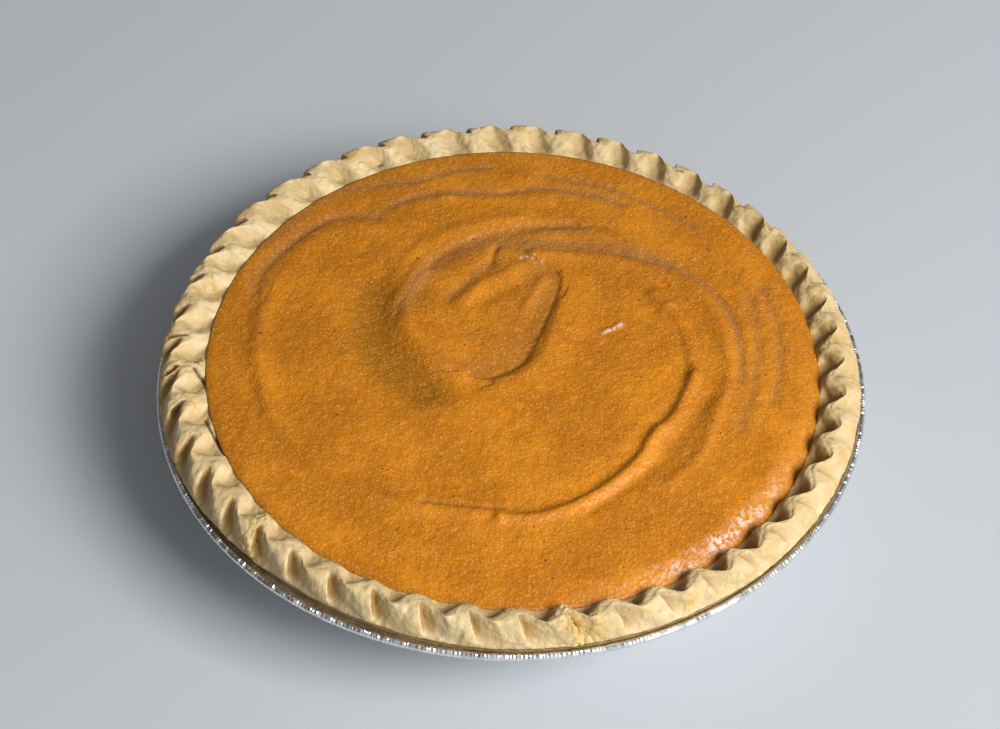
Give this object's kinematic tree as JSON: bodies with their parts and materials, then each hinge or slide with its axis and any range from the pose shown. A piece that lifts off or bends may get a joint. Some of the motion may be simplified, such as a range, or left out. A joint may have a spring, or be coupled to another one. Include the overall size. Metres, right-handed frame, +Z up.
{
  "type": "unbaked sweet potato pie",
  "caption": "Uncut round pie in a foil pan: raw crimped pastry shell filled level with swirled orange sweet potato puree.",
  "frame": {"origin": "centre of the pan's flat underside, on the surface the pie stands on", "axes": "+Z up along the axis of the round pan; the pictured side faces -Y and +X is its right"},
  "size_m": [0.244, 0.244, 0.0474],
  "materials": {
    "foil": "bright thin foil with fine crease lines",
    "raw_pastry": "matte raw dough, cream with pale brown folds",
    "sweet_potato": "moist satin puree with fine grain"
  },
  "bodies": {
    "root": {"foil_pan": "foil", "crust": "raw_pastry", "filling": "sweet_potato"}
  },
  "joints": []
}
